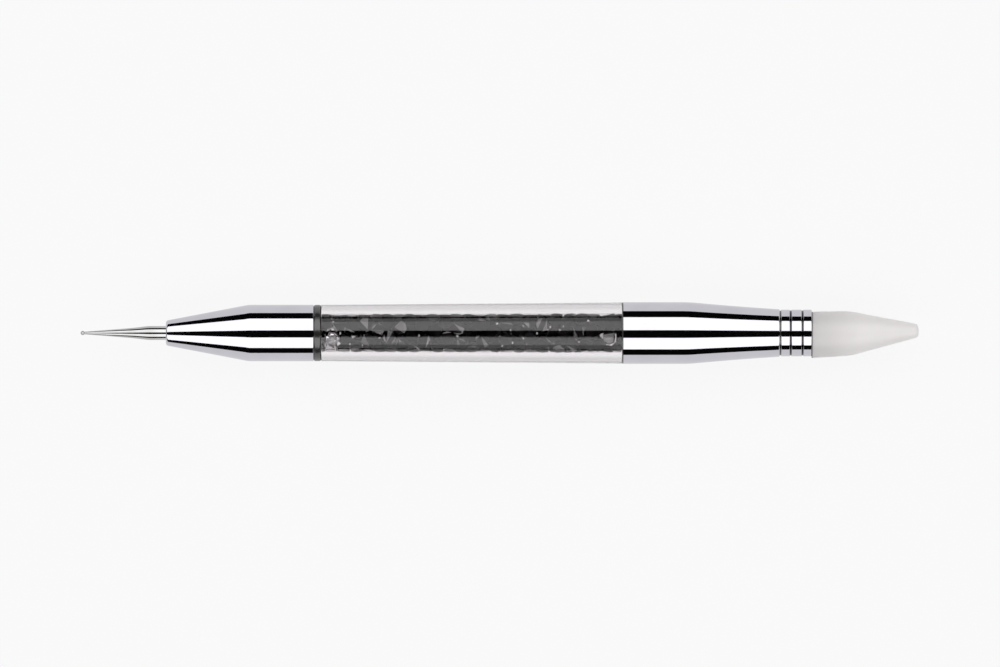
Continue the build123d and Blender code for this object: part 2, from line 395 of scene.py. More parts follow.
class EffectGroup:
    """An effect that several finishes share, built once as a shader node group."""

    name = "effect"
    inputs: tuple[str, ...] = ()
    outputs: tuple[str, ...] = ()

    @classmethod
    def tree(cls) -> bpy.types.NodeTree:
        """Give the group's node tree, building it the first time.

        Returns:
            The node tree, with a number socket for each of the group's inputs and outputs.
        """
        found = bpy.data.node_groups.get(cls.name)
        if found is not None:
            return found
        tree = bpy.data.node_groups.new(cls.name, "ShaderNodeTree")
        for side, names in (("INPUT", cls.inputs), ("OUTPUT", cls.outputs)):
            for name in names:
                tree.interface.new_socket(name=name, in_out=side, socket_type="NodeSocketFloat")
        desk = NodeDesk(tree)
        cls.fill(desk, desk.add("NodeGroupInput"), desk.add("NodeGroupOutput"))
        return tree

    @classmethod
    def fill(cls, desk: NodeDesk, into: bpy.types.Node, out: bpy.types.Node) -> None:
        """Build the inside of the group on its desk, between its input and output nodes."""
        raise NotImplementedError

    @classmethod
    def place(cls, desk: NodeDesk, **values: float) -> bpy.types.Node:
        """Place the group in a material.

        Args:
            desk: the desk on the material's tree.
            values: numbers for the group's inputs, with _ for a space.

        Returns:
            The group's node.
        """
        node = desk.add("ShaderNodeGroup", node_tree=cls.tree())
        for name, value in values.items():
            node.inputs[name.replace("_", " ")].default_value = value
        return node


class TurnedWear(EffectGroup):
    """Turning lines round the axis and soft smudges on a machined surface."""

    name = "turned_wear"
    inputs = ("Lines per mm", "Roughness", "Spread")
    outputs = ("Roughness out", "Height", "Smudge")
    line_detail = 3.0
    line_share = 0.6
    smudges_per_mm = 0.28
    smudge_detail = 4.0
    smudge_from = 0.42
    smudge_to = 0.68

    @classmethod
    def fill(cls, desk: NodeDesk, into: bpy.types.Node, out: bpy.types.Node) -> None:
        """Build lines from noise stretched round the axis, and smudges from slow noise.

        Args:
            desk: the group's desk.
            into: its input node.
            out: its output node.
        """
        along = desk.math("MULTIPLY", desk.place().outputs["X"], into.outputs["Lines per mm"])
        lines = desk.add("ShaderNodeTexNoise", noise_dimensions="1D")
        lines.inputs["Scale"].default_value = 1 / MM
        lines.inputs["Detail"].default_value = cls.line_detail
        desk.link(along, lines.inputs["W"])
        smudge = desk.add("ShaderNodeTexNoise")
        smudge.inputs["Scale"].default_value = cls.smudges_per_mm / MM
        smudge.inputs["Detail"].default_value = cls.smudge_detail
        desk.link(desk.add("ShaderNodeTexCoord").outputs["Object"], smudge.inputs["Vector"])
        patch = desk.span(smudge.outputs[0], cls.smudge_from, cls.smudge_to, 0.0, 1.0)
        both = desk.math("ADD", desk.math("MULTIPLY", lines.outputs[0], cls.line_share),
                         desk.math("MULTIPLY", patch, 1.0 - cls.line_share))
        rougher = desk.math("MULTIPLY", both, into.outputs["Spread"])
        desk.link(desk.math("ADD", into.outputs["Roughness"], rougher), out.inputs["Roughness out"])
        desk.link(lines.outputs[0], out.inputs["Height"])
        desk.link(patch, out.inputs["Smudge"])


class SurfaceGrain(EffectGroup):
    """Fine moulded grain with sparse specks, which are stray dust, and on the dark rubber painted glints."""

    name = "surface_grain"
    inputs = ("Grains per mm",)
    outputs = ("Grain", "Specks", "Cloud")
    detail = 3.0
    specks_per_mm = 1.1
    speck_core = 0.05
    speck_edge = 0.11
    clouds_per_mm = 0.16
    cloud_from = 0.35
    cloud_to = 0.65

    @classmethod
    def fill(cls, desk: NodeDesk, into: bpy.types.Node, out: bpy.types.Node) -> None:
        """Build the grain from fine noise, the specks from sparse cells and the cloud from slow noise.

        Args:
            desk: the group's desk.
            into: its input node.
            out: its output node.
        """
        place = desk.add("ShaderNodeTexCoord").outputs["Object"]
        fine = desk.add("ShaderNodeTexNoise")
        desk.link(desk.math("MULTIPLY", into.outputs["Grains per mm"], 1 / MM), fine.inputs["Scale"])
        fine.inputs["Detail"].default_value = cls.detail
        desk.link(place, fine.inputs["Vector"])
        cells = desk.add("ShaderNodeTexVoronoi", feature="F1")
        cells.inputs["Scale"].default_value = cls.specks_per_mm / MM
        desk.link(place, cells.inputs["Vector"])
        slow = desk.add("ShaderNodeTexNoise")
        slow.inputs["Scale"].default_value = cls.clouds_per_mm / MM
        slow.inputs["Detail"].default_value = cls.detail
        desk.link(place, slow.inputs["Vector"])
        desk.link(fine.outputs[0], out.inputs["Grain"])
        specks = desk.span(cells.outputs["Distance"], cls.speck_core, cls.speck_edge, 1.0, 0.0)
        desk.link(specks, out.inputs["Specks"])
        desk.link(desk.span(slow.outputs[0], cls.cloud_from, cls.cloud_to, 0.0, 1.0), out.inputs["Cloud"])


Colour = tuple[float, float, float]


@dataclass(frozen=True)
class Finish:
    """Common part of every finish: a material of its own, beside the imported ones, with one shader."""

    name: str
    colour: Colour

    def build(self) -> bpy.types.Material:
        """Give the finish's material, building it the first time.

        Returns:
            The material.
        """
        name = f"{self.name}_finish"
        found = bpy.data.materials.get(name)
        if found is not None:
            return found
        material = bpy.data.materials.new(name)
        material.use_nodes = True
        material.diffuse_color = (*self.colour, 1.0)
        desk = NodeDesk(material.node_tree)
        shader = material.node_tree.nodes["Principled BSDF"]
        shader.inputs["Base Color"].default_value = (*self.colour, 1.0)
        self.dress(desk, shader)
        return material

    def dress(self, desk: NodeDesk, shader: bpy.types.Node) -> None:
        """Set up the material's Principled shader and the nodes that feed it."""
        raise NotImplementedError

    @staticmethod
    def bump(desk: NodeDesk, shader: bpy.types.Node, height: bpy.types.NodeSocket,
             distance: float, strength: float) -> None:
        """Let a height bend the shader's normal.

        Args:
            desk: the material's desk.
            shader: its Principled shader.
            height: the height's socket.
            distance: height in metres that a value of 1 stands for.
            strength: share of the effect, from 0 to 1.
        """
        node = desk.add("ShaderNodeBump")
        node.inputs["Strength"].default_value = strength
        node.inputs["Distance"].default_value = distance
        desk.link(height, node.inputs["Height"])
        desk.link(node.outputs[0], shader.inputs["Normal"])


@dataclass(frozen=True)
class TurnedMetal(Finish):
    """Plated or polished metal, turned on a lathe.

    Args:
        smudge_colour: colour that faint smudges take.
        roughness: roughness of the cleanest places.
        spread: how much rougher the lines and smudges are.
        lines_per_mm: turning lines in a millimetre.
        line_depth: depth of those lines.
    """

    smudge_colour: Colour
    roughness: float
    spread: float
    lines_per_mm: float
    line_depth: float

    def dress(self, desk: NodeDesk, shader: bpy.types.Node) -> None:
        """Build the metal with its turning lines and smudges.

        Args:
            desk: the material's desk.
            shader: its Principled shader.
        """
        shader.inputs["Metallic"].default_value = 1.0
        wear = TurnedWear.place(desk, Lines_per_mm=self.lines_per_mm, Roughness=self.roughness,
                                Spread=self.spread)
        desk.link(wear.outputs["Roughness out"], shader.inputs["Roughness"])
        colour = desk.mix(wear.outputs["Smudge"], self.colour, self.smudge_colour)
        desk.link(self.darkened(desk, colour), shader.inputs["Base Color"])
        self.bump(desk, shader, wear.outputs["Height"], self.line_depth, 1.0)

    def darkened(self, desk: NodeDesk, colour: bpy.types.NodeSocket) -> bpy.types.NodeSocket:
        """Give the metal's colour with any darkening in its grooves, which plain turned metal doesn't have.
        """
        return colour


@dataclass(frozen=True)
class GroovedMetal(TurnedMetal):
    """Plated metal whose turned grooves are coloured darker than the rings.

    Args:
        groove_colour: the darker colour in the grooves.
        axis_height: height of the turned piece's axis.
        floor_radius: radius just under the grooves' floors, below which the metal keeps its plain colour.
        groove_radius: radius up to which the darker colour covers the metal.
        plain_radius: radius above which it has its plain colour again.
        edge_width: width over which the darker colour starts at the floors.
    """

    groove_colour: Colour = (0.06, 0.055, 0.06)
    axis_height: float = 4.98 * MM
    floor_radius: float = 3.50 * MM
    groove_radius: float = 3.68 * MM
    plain_radius: float = 3.765 * MM
    edge_width: float = 0.06 * MM

    def darkened(self, desk: NodeDesk, colour: bpy.types.NodeSocket) -> bpy.types.NodeSocket:
        """Darken the colour in the grooves between the rings.

        Args:
            desk: the desk on the material's tree.
            colour: the plain metal's colour.

        Returns:
            The colour, darker in the grooves.
        """
        place = desk.place()
        above = desk.math("SUBTRACT", place.outputs["Z"], self.axis_height)
        square = desk.math("ADD", desk.math("MULTIPLY", place.outputs["Y"], place.outputs["Y"]),
                           desk.math("MULTIPLY", above, above))
        radius = desk.math("SQRT", square)
        inside = desk.span(radius, self.groove_radius, self.plain_radius, 1.0, 0.0)
        outside = desk.span(radius, self.floor_radius, self.floor_radius + self.edge_width, 0.0, 1.0)
        return desk.mix(desk.math("MULTIPLY", inside, outside), colour, self.groove_colour)


@dataclass(frozen=True)
class ClearPlastic(Finish):
    """Clear polished plastic, or a clear stone, with faint ripples and a little dust.

    Args:
        dust_colour: colour of the dust specks.
        ior: index of refraction.
        ripple: depth of the ripples in the surface.
    """

    dust_colour: Colour
    ior: float
    ripple: float

    def dress(self, desk: NodeDesk, shader: bpy.types.Node) -> None:
        """Build the clear body with its rippled skin and dust.

        Args:
            desk: the material's desk.
            shader: its Principled shader.
        """
        shader.inputs["Transmission Weight"].default_value = 1.0
        shader.inputs["IOR"].default_value = self.ior
        shader.inputs["Roughness"].default_value = 0.0
        grain = SurfaceGrain.place(desk)
        colour = desk.mix(grain.outputs["Specks"], self.colour, self.dust_colour)
        desk.link(colour, shader.inputs["Base Color"])
        self.bump(desk, shader, grain.outputs["Cloud"], self.ripple, 1.0)


@dataclass(frozen=True)
class GlossyStone(Finish):
    """Opaque faceted resin, with each stone a little different.

    Args:
        pale_colour: colour of the palest stones.
        roughness: roughness of the freshest facets.
        spread: how much rougher the dullest ones are.
        specular: mirror strength of the plain stones.
        bright_from: chance above which a stone starts to gain the full gloss of a fresh one.
        bright_at: chance above which it has all of that gloss.
        coat_ior: index of refraction of the fresh stones' lacquer.
    """

    pale_colour: Colour
    roughness: float = 0.05
    spread: float = 0.08
    specular: float = 0.04
    bright_from: float = 0.78
    bright_at: float = 0.86
    coat_ior: float = 1.9

    def dress(self, desk: NodeDesk, shader: bpy.types.Node) -> None:
        """Build the resin with a small change from stone to stone.

        Args:
            desk: the material's desk.
            shader: its Principled shader.
        """
        shader.inputs["Specular IOR Level"].default_value = self.specular
        shader.inputs["Coat IOR"].default_value = self.coat_ior
        each = desk.add("ShaderNodeNewGeometry").outputs["Random Per Island"]
        grain = SurfaceGrain.place(desk)
        desk.link(desk.mix(each, self.colour, self.pale_colour), shader.inputs["Base Color"])
        rough = desk.math("ADD", desk.math("MULTIPLY", grain.outputs["Cloud"], self.spread), self.roughness)
        desk.link(rough, shader.inputs["Roughness"])
        desk.link(desk.span(each, self.bright_from, self.bright_at, 0.0, 1.0), shader.inputs["Coat Weight"])


@dataclass(frozen=True)
class MouldedRubber(Finish):
    """Dark rubber, or pale plain plastic, with a fine moulded grain.

    Args:
        dust_and_glint_colour: colour of the specks, which are stray dust, and on the dark rubber painted
            glints.
        roughness: usual roughness of the skin.
        grain_depth: depth of the grain.
        smoother: how much smoother it gets in places.
        rougher: how much rougher it gets in places.
        dust_and_glint_share: strength of the specks.
        grains_per_mm: grains in a millimetre.
        grain_share: strength of the grain, from 0 to 1.
        specular: mirror strength of the skin, where 0.5 is plain plastic.
        ior: index of refraction of the skin.
    """

    dust_and_glint_colour: Colour
    roughness: float
    grain_depth: float
    smoother: float = 0.05
    rougher: float = 0.08
    dust_and_glint_share: float = 0.5
    grains_per_mm: float = 5.0
    grain_share: float = 0.6
    specular: float = 0.5
    ior: float = 1.5

    def dress(self, desk: NodeDesk, shader: bpy.types.Node) -> None:
        """Build the skin with its grain and specks: a little dust, and on the dark rubber painted glints.

        Args:
            desk: the material's desk.
            shader: its Principled shader.
        """
        shader.inputs["Specular IOR Level"].default_value = self.specular
        shader.inputs["IOR"].default_value = self.ior
        grain = SurfaceGrain.place(desk, Grains_per_mm=self.grains_per_mm)
        # The specks are stray dust, and on the dark rubber pale enough to be painted glints.
        specks = desk.math("MULTIPLY", grain.outputs["Specks"], self.dust_and_glint_share)
        desk.link(desk.mix(specks, self.colour, self.dust_and_glint_colour), shader.inputs["Base Color"])
        rough = desk.span(grain.outputs["Cloud"], 0.0, 1.0, self.roughness - self.smoother,
                          self.roughness + self.rougher)
        desk.link(rough, shader.inputs["Roughness"])
        self.bump(desk, shader, grain.outputs["Grain"], self.grain_depth, self.grain_share)


@dataclass(frozen=True)
class MilkySilicone(Finish):
    """Translucent milky silicone, with painted shade near the collar that holds it.

    Args:
        collar_shade_colour: painted shade colour near the collar.
        cloud_colour: colour of the faint clouds in the body.
        cloud_share: strength of those clouds.
        roughness: usual roughness of the skin.
        smoother: how much smoother it gets in places.
        rougher: how much rougher it gets in places.
        grains_per_mm: grains in a millimetre.
        grain_from: height of the grain at which the skin is smoothest.
        grain_to: height at which it is roughest.
        grain_depth: depth of the grain.
        grain_share: strength of the grain, from 0 to 1.
        ior: index of refraction.
        milkiness: share of the light that travels inside.
        scatter: distance that it travels.
        scatter_shares: that distance for red, green and blue, as shares of the scatter.
        collar_shade_x: where the painted shade near the collar starts, along the pen.
        collar_shade_end_x: where that painted shade has gone.
        mouth_line_shade_colour: colour of the dark line at the collar's mouth, a glue line with painted
            shade of the gap there.
        mouth_line_x: where that dark line starts.
        mouth_line_end_x: where it has gone.
    """

    collar_shade_colour: Colour = (0.64, 0.619, 0.619)
    cloud_colour: Colour = (0.75, 0.728, 0.717)
    cloud_share: float = 0.35
    roughness: float = 0.38
    smoother: float = 0.04
    rougher: float = 0.05
    grains_per_mm: float = 3.0
    grain_from: float = 0.3
    grain_to: float = 0.7
    grain_depth: float = 0.003 * MM
    grain_share: float = 0.5
    ior: float = 1.41
    milkiness: float = 0.5
    scatter: float = 1.6 * MM
    scatter_shares: Colour = (1.0, 0.96, 0.94)
    collar_shade_x: float = 50.0 * MM
    collar_shade_end_x: float = 58.0 * MM
    mouth_line_shade_colour: Colour = (0.16, 0.155, 0.155)
    mouth_line_x: float = 50.32 * MM
    mouth_line_end_x: float = 50.50 * MM

    def dress(self, desk: NodeDesk, shader: bpy.types.Node) -> None:
        """Build the milky body with its painted shade near the collar, clouds, dark line at the mouth and
        satin skin.

        Args:
            desk: the material's desk.
            shader: its Principled shader.
        """
        grain = SurfaceGrain.place(desk, Grains_per_mm=self.grains_per_mm)
        along = desk.place().outputs["X"]
        # Painted shade: the head greys towards the collar, standing for light lost inside it.
        collar_shade = desk.span(along, self.collar_shade_x, self.collar_shade_end_x, 1.0, 0.0)
        clouds = desk.math("MULTIPLY", grain.outputs["Cloud"], self.cloud_share)
        body = desk.mix(clouds, self.colour, self.cloud_colour)
        # A glue line at the collar's mouth, darkened further with painted shade of the gap between collar
        # and head.
        mouth_line_shade = desk.span(along, self.mouth_line_x, self.mouth_line_end_x, 1.0, 0.0)
        collar_shaded = desk.mix(collar_shade, body, self.collar_shade_colour)
        desk.link(desk.mix(mouth_line_shade, collar_shaded, self.mouth_line_shade_colour), shader.inputs["Base Color"])
        rough = desk.span(grain.outputs["Grain"], self.grain_from, self.grain_to,
                          self.roughness - self.smoother, self.roughness + self.rougher)
        desk.link(rough, shader.inputs["Roughness"])
        shader.inputs["Subsurface Weight"].default_value = self.milkiness
        shader.inputs["Subsurface Radius"].default_value = self.scatter_shares
        shader.inputs["Subsurface Scale"].default_value = self.scatter
        shader.inputs["IOR"].default_value = self.ior
        self.bump(desk, shader, grain.outputs["Grain"], self.grain_depth, self.grain_share)


CHROME = TurnedMetal("chrome_plate", (0.675, 0.66, 0.715), smudge_colour=(0.645, 0.63, 0.685),
                     roughness=0.02, spread=0.03, lines_per_mm=3.0, line_depth=0.00004 * MM)
COLLAR_CHROME = GroovedMetal("grooved_chrome", CHROME.colour, CHROME.smudge_colour, CHROME.roughness,
                             CHROME.spread, CHROME.lines_per_mm, CHROME.line_depth)
STEEL = TurnedMetal("needle_steel", (0.62, 0.615, 0.62), smudge_colour=(0.52, 0.515, 0.51),
                    roughness=0.01, spread=0.025, lines_per_mm=12.0, line_depth=0.0001 * MM)
BRASS = TurnedMetal("turned_brass", (0.62, 0.47, 0.22), smudge_colour=(0.50, 0.37, 0.17),
                    roughness=0.18, spread=0.14, lines_per_mm=8.0, line_depth=0.001 * MM)
ACRYLIC = ClearPlastic("clear_acrylic", (0.99, 0.963, 0.98), dust_colour=(0.94, 0.92, 0.935),
                       ior=1.49, ripple=0.0006 * MM)
CLEAR_STONE = ClearPlastic("clear_stone", (0.80, 0.79, 0.80), dust_colour=(0.60, 0.59, 0.60),
                           ior=1.56, ripple=0.003 * MM)
BLACK_STONE = GlossyStone("black_stone", (0.002, 0.0018, 0.002), pale_colour=(0.012, 0.011, 0.0115))
# The dark rubber's pale specks are painted glints as well as dust.
RUBBER = MouldedRubber("dark_rubber", (0.017, 0.0155, 0.015), dust_and_glint_colour=(0.40, 0.39, 0.38),
                       roughness=0.20, grain_depth=0.014 * MM, specular=1.0, ior=1.6)
STOPPER = MouldedRubber("stopper_plastic", (0.72, 0.71, 0.69), dust_and_glint_colour=(0.5, 0.48, 0.45),
                        roughness=0.45, grain_depth=0.004 * MM)
SILICONE = MilkySilicone("milky_silicone", (0.84, 0.818, 0.812))


@dataclass
class Needle:
    """The ball stylus: a turned steel needle with a ball point, and its hidden shank."""

    lathe: Lathe
    ball_radius: float = 0.35 * MM
    neck_radius: float = 0.21 * MM
    waist_radius: float = 0.82 * MM
    slim_taper: float = 7.6 * MM
    steep_taper: float = 2.6 * MM
    waist_round: float = 30.0 * MM
    shoulder_round: float = 9.0 * MM
    end_chamfer: float = 0.25 * MM
    ball_steps: int = 24

    def build(self) -> bpy.types.Object:
        """Turn the needle between its node's two ends.

        Returns:
            The new piece.
        """
        low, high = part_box("ball_stylus")
        shank = (high.y - low.y) / 2
        neck_angle = math.asin(self.neck_radius / self.ball_radius)
        centre_x = low.x + self.ball_radius
        corners = []
        for step in range(self.ball_steps + 1):
            angle = (math.pi - neck_angle) * step / self.ball_steps
            corners.append(Corner(centre_x - self.ball_radius * math.cos(angle),
                                  self.ball_radius * math.sin(angle) if step else 0.0))
        waist_x = low.x + 2 * self.ball_radius + self.slim_taper
        shank_x = waist_x + self.steep_taper
        corners += [
            Corner(waist_x, self.waist_radius, self.waist_round),
            Corner(shank_x, shank, self.shoulder_round),
            Corner(high.x - self.end_chamfer, shank),
            Corner(high.x, shank - self.end_chamfer),
            Corner(high.x, 0.0),
        ]
        piece = self.lathe.turn("ball_needle", Outline(corners))
        return mounted(piece, STEEL, Body.HANDLE, Slot.STEEL, "ball_stylus")


@dataclass
class Ferrules:
    """The two chromed shells that hold the handle."""

    lathe: Lathe
    mouth_radius: float = 2.0 * MM
    cone_length: float = 13.3 * MM
    mouth_round: float = 0.45 * MM
    nose_shoulder_round: float = 5.0 * MM
    needle_hole: float = 1.17 * MM
    holder_bore: float = 2.15 * MM
    front_wall: float = 6.8 * MM
    front_tenon_bore: float = 3.94 * MM
    front_tenon_depth: float = 7.0 * MM
    tail_barrel: float = 10.6 * MM
    tail_shoulder_round: float = 26.0 * MM
    tail_hollow: float = 0.10 * MM
    tail_hollow_round: float = 420.0 * MM
    tail_turn_step: float = math.radians(0.25)
    tail_end_radius: float = 3.83 * MM
    tail_end_round: float = 0.22 * MM
    rear_tenon_bore: float = 4.19 * MM
    rear_tenon_depth: float = 6.0 * MM
    socket_bore: float = 3.09 * MM
    edge_break: float = 0.08 * MM

    def build_nose(self) -> bpy.types.Object:
        """Turn the nose: rounded mouth, cone, barrel, and the stepped bore behind them.

        Returns:
            The new piece.
        """
        low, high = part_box("nose_ferrule")
        radius = (high.z - low.z) / 2
        step_x = low.x + self.front_wall
        tenon_x = high.x - self.front_tenon_depth
        corners = [
            Corner(low.x, self.needle_hole),
            Corner(low.x, self.mouth_radius, self.mouth_round),
            Corner(low.x + self.cone_length, radius, self.nose_shoulder_round),
            Corner(high.x, radius, self.edge_break),
            Corner(high.x, self.front_tenon_bore),
            Corner(tenon_x, self.front_tenon_bore),
            Corner(tenon_x, self.holder_bore),
            Corner(step_x, self.holder_bore),
            Corner(step_x, self.needle_hole),
        ]
        piece = self.lathe.turn("nose_shell", Outline(corners, closed=True))
        return mounted(piece, CHROME, Body.HANDLE, Slot.CHROME, "nose_ferrule")

    def build_tail(self) -> bpy.types.Object:
        """Turn the tail: barrel, slightly hollow taper, and the two bores inside.

        Returns:
            The new piece.
        """
        low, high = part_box("tail_ferrule")
        radius = self.lathe.axis_height
        shoulder_x = low.x + self.tail_barrel
        middle_x = (shoulder_x + high.x) / 2
        middle_r = (radius + self.tail_end_radius) / 2 - self.tail_hollow
        tenon_x = low.x + self.rear_tenon_depth
        corners = [
            Corner(low.x, self.rear_tenon_bore),
            Corner(low.x, radius),
            Corner(shoulder_x, radius, self.tail_shoulder_round),
            Corner(middle_x, middle_r, self.tail_hollow_round),
            Corner(high.x, self.tail_end_radius, self.tail_end_round),
            Corner(high.x, self.socket_bore),
            Corner(tenon_x, self.socket_bore),
            Corner(tenon_x, self.rear_tenon_bore),
        ]
        piece = self.lathe.turn("tail_shell", Outline(corners, closed=True, turn_step=self.tail_turn_step))
        return mounted(piece, CHROME, Body.HANDLE, Slot.CHROME, "tail_ferrule")


@dataclass
class Handle:
    """The clear tube, and the rubber ring between it and the nose."""

    lathe: Lathe
    front_radius: float = 4.535 * MM
    rear_radius: float = 4.93 * MM
    front_tenon: float = 3.9 * MM
    rear_tenon: float = 4.15 * MM
    front_tenon_length: float = 6.24 * MM
    rear_tenon_length: float = 6.2 * MM
    front_bore: float = 3.13 * MM
    rear_bore: float = 3.26 * MM
    edge_break: float = 0.08 * MM
    ring_bore: float = 3.94 * MM
    ring_round: float = 0.34 * MM

    def build_tube(self) -> bpy.types.Object:
        """Turn the clear tube with its two tenons and its tapered bore.

        Returns:
            The new piece.
        """
        low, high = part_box("barrel_tube")
        front_x = low.x + self.front_tenon_length
        rear_x = high.x - self.rear_tenon_length
        growth = (self.rear_bore - self.front_bore) / (rear_x - front_x)
        corners = [
            Corner(low.x, self.front_bore + growth * (low.x - front_x)),
            Corner(low.x, self.front_tenon, self.edge_break),
            Corner(front_x, self.front_tenon),
            Corner(front_x, self.front_radius, self.edge_break),
            Corner(rear_x, self.rear_radius, self.edge_break),
            Corner(rear_x, self.rear_tenon),
            Corner(high.x, self.rear_tenon, self.edge_break),
            Corner(high.x, self.front_bore + growth * (high.x - front_x)),
        ]
        piece = self.lathe.turn("clear_tube", Outline(corners, closed=True))
        return mounted(piece, ACRYLIC, Body.HANDLE, Slot.ACRYLIC, "barrel_tube")

    def build_nose_ring(self) -> bpy.types.Object:
        """Turn the rubber ring that is squeezed between the nose and the tube.

        Returns:
            The new piece.
        """
        low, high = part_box("nose_seal_ring")
        radius = (high.z - low.z) / 2
        corners = [
            Corner(low.x, self.ring_bore),
            Corner(low.x, radius, self.ring_round),
            Corner(high.x, radius, self.ring_round),
            Corner(high.x, self.ring_bore),
        ]
        piece = self.lathe.turn("nose_ring", Outline(corners, closed=True))
        return mounted(piece, RUBBER, Body.HANDLE, Slot.RUBBER, "nose_seal_ring")


@dataclass
class SoftTip:
    """The silicone head on its stem: a little off centre, and leaning to one side."""

    lathe: Lathe
    mouth_x: float
    base_radius: float = 3.73 * MM
    shoulder_radius: float = 3.60 * MM
    straight_length: float = 6.1 * MM
    end_radius: float = 1.05 * MM
    length: float = 17.28 * MM
    crown: float = 0.12 * MM
    shoulder_round: float = 9.0 * MM
    end_round: float = 0.72 * MM
    lean: float = math.radians(2.2)
    offset: float = 0.30 * MM
    stem_radius: float = 2.86 * MM
    stem_length: float = 3.2 * MM
    stem_round: float = 0.3 * MM
    settle_length: float = 3.0 * MM
    ripple: float = 0.02 * MM
    ripples_per_mm: float = 0.35
    run_step: float = 0.4 * MM
    tolerance: float = 0.003 * MM

    def build(self) -> bpy.types.Object:
        """Turn the head and stem, then lean the head and give its skin a soft unevenness.

        Returns:
            The new piece.
        """
        corners = [
            Corner(-self.stem_length, 0.0),
            Corner(-self.stem_length, self.stem_radius, self.stem_round),
            Corner(0.0, self.stem_radius),
            Corner(0.0, self.base_radius),
            Corner(self.straight_length, self.shoulder_radius, self.shoulder_round),
            Corner(self.length - self.crown, self.end_radius, self.end_round),
            Corner(self.length, 0.0),
        ]
        piece = self.lathe.turn("silicone_head", Outline(corners, run_step=self.run_step))
        for vertex in piece.data.vertices:
            vertex.co = self._settled(vertex.co)
        piece.data.update()
        return mounted(piece, SILICONE, Body.TIP, Slot.SILICONE, "soft_tip")

    def _settled(self, point: Vector) -> Vector:
        """Move one point of the turned head to where the leaning head has it.

        Args:
            point: the point on the upright head, along the pen's axis.

        Returns:
            The point on the leaning head.
        """
        along, side, up = point.x, point.y, point.z - self.lathe.axis_height
        radius = math.hypot(side, up)
        if along < 0 or (along == 0 and radius <= self.stem_radius + self.tolerance):
            return Vector((self.mouth_x + along, side, point.z))
        share = min(along / self.settle_length, 1.0)
        ease = share * share * (3 - 2 * share)
        swell = 1.0
        if radius > 0:
            place = Vector((along, side, up)) * self.ripples_per_mm / MM
            swell += ease * self.ripple * noise.noise(place) / radius
        side *= swell
        up *= swell
        x = self.mouth_x + along * math.cos(self.lean) - side * math.sin(self.lean) * ease
        y = side * math.cos(self.lean) + along * math.sin(self.lean) - self.offset
        return Vector((x, y, self.lathe.axis_height + up))


class PackedPieces:
    """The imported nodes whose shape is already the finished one, which only get their finish."""

    FINISHES: dict[str, Finish] = {
        "stylus_holder": BRASS,
        "tip_socket": BRASS,
        "front_stopper": STOPPER,
        "rear_stopper": STOPPER,
        "tail_seal_ring": RUBBER,
        "tip_washer": RUBBER,
        "tip_collar": COLLAR_CHROME,
        "clear_stones": CLEAR_STONE,
    }

    def __init__(self, nodes: dict[str, bpy.types.Object]) -> None:
        """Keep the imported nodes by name."""
        self.nodes = nodes

    def dress(self) -> None:
        """Give each of these nodes its finish."""
        finishes = dict(self.FINISHES)
        finishes.update({name: BLACK_STONE for name in self.nodes if name.startswith("black_stones")})
        for name, finish in finishes.items():
            for slot in self.nodes[name].material_slots:
                slot.material = finish.build()
            LOG.info("%s: finished as %s", name, finish.name)


@dataclass(frozen=True)
class Softbox:
    """A long strip light over the table, square to the pen.

    Args:
        name: name of the lamp.
        from_angle: angle from straight up where its reflection starts, towards +Y.
        to_angle: angle where it ends.
        distance: distance from the pen.
        length: length along the pen.
        radiance: brightness of its face, where 1 is white.
    """

    name: str
    from_angle: float
    to_angle: float
    distance: float = 0.6
    length: float = 2.4
    radiance: float = 1.56

    def build(self) -> bpy.types.Object:
        """Hang the strip where its face fills its span of angles.

        Returns:
            The lamp.
        """
        middle = (self.from_angle + self.to_angle) / 2
        half = abs(self.to_angle - self.from_angle) / 2
        width = 2 * self.distance * math.tan(half)
        lamp = bpy.data.lights.new(self.name, "AREA")
        lamp.shape = "RECTANGLE"
        lamp.size = self.length
        lamp.size_y = width
        lamp.energy = self.radiance * math.pi * self.length * width
        strip = bpy.data.objects.new(self.name, lamp)
        strip.location = (0.0, self.distance * math.sin(middle), self.distance * math.cos(middle))
        strip.rotation_euler = (-middle, 0.0, 0.0)
        bpy.context.scene.collection.objects.link(strip)
        LOG.info("%s: %.0f mm wide", self.name, width / MM)
        return strip


